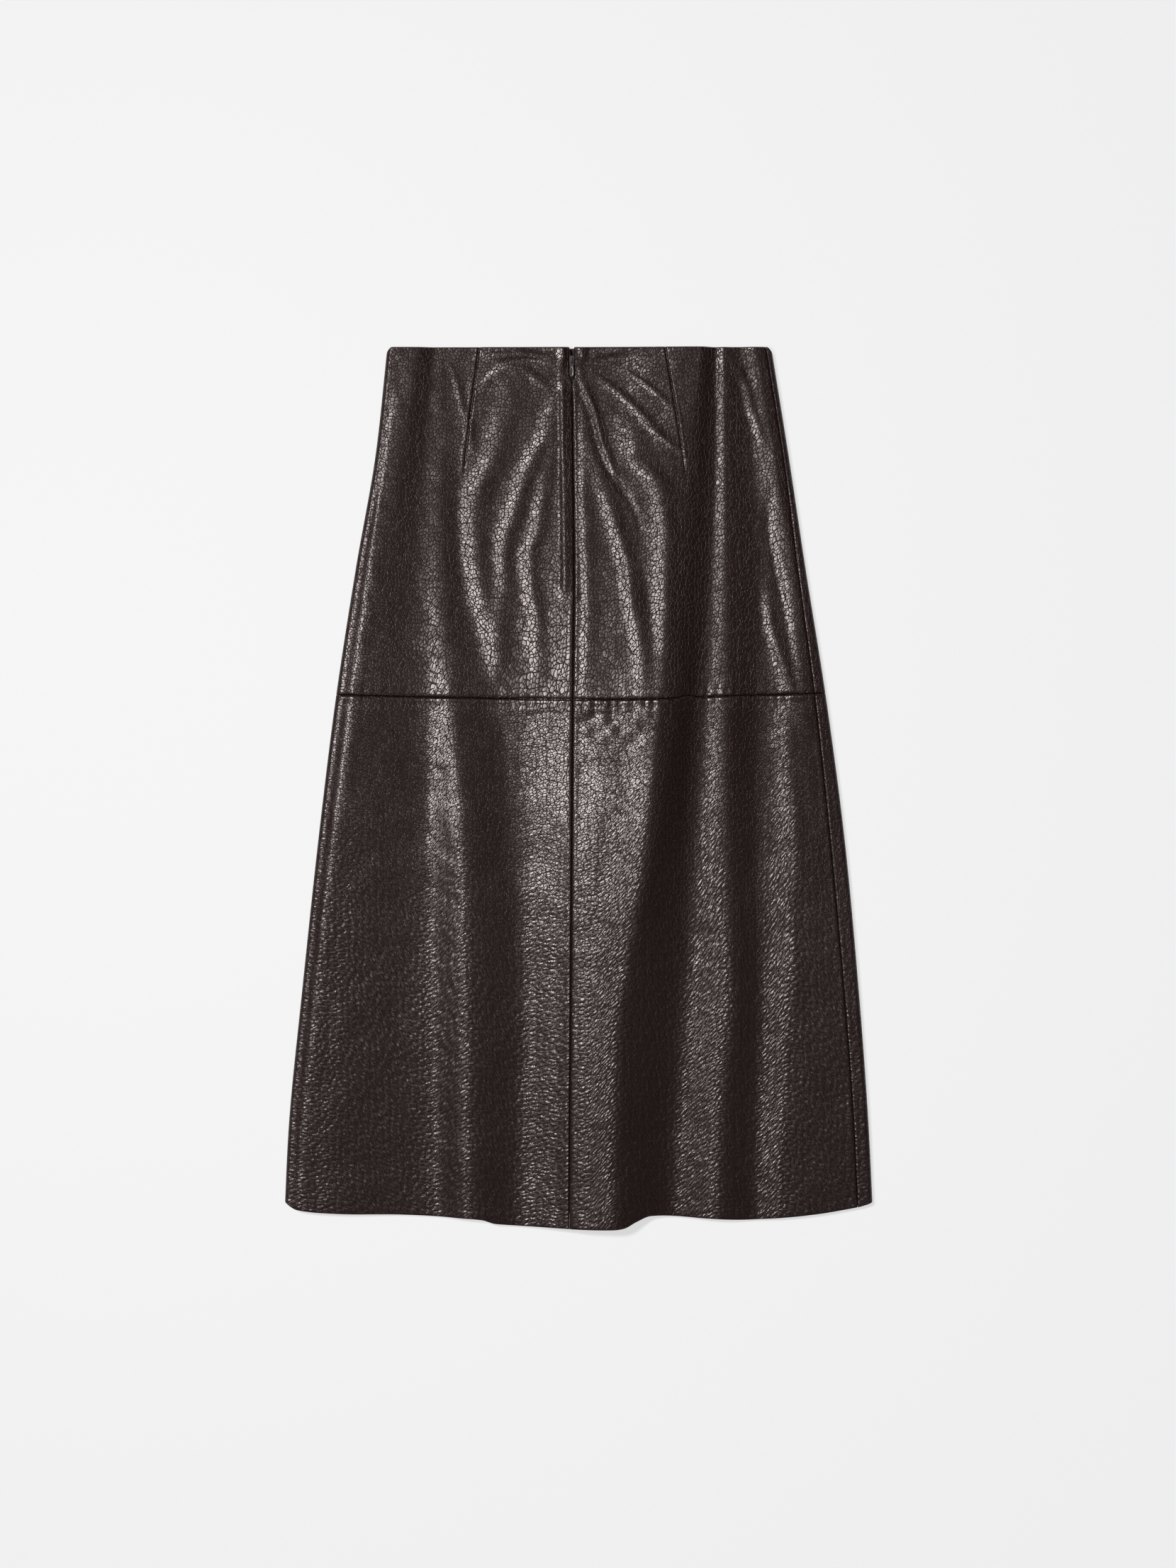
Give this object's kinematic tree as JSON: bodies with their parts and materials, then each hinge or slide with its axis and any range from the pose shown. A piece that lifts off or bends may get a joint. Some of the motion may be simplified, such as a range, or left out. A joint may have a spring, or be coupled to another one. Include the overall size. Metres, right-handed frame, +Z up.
{
  "type": "leather skirt",
  "caption": "A-line midi skirt of grained leather laid flat back up, with two back darts, a level seam and a concealed centre-back zip with a hinged pull.",
  "frame": {"origin": "middle of the skirt's footprint, on the surface that it lies on", "axes": "+X to the right as the back is looked at, +Y up the skirt to its waist, +Z up from the surface, out of the skirt's back"},
  "size_m": [0.5339, 0.8002, 0.0237],
  "materials": {
    "leather_back": "semi-gloss grained",
    "leather_front": "semi-gloss grained",
    "zip_tape": "matt woven",
    "zip_fittings": "satin lacquered"
  },
  "bodies": {
    "skirt": {"back_hip_left": "leather_back", "back_hip_right": "leather_back", "back_lower_left": "leather_back", "back_lower_right": "leather_back", "front_hip": "leather_front", "front_lower": "leather_front", "zip_tape_left": "zip_tape", "zip_tape_right": "zip_tape", "zip_slider": "zip_fittings"},
    "zip_pull": {"zip_pull": "zip_fittings"}
  },
  "joints": [
    {"name": "pull_hinge", "type": "hinge", "parent": "skirt", "child": "zip_pull", "pos_m": [-0.00628, 0.3875, 0.0099], "axis": [-1, 0, 0], "range_deg": [0, 170]}
  ]
}
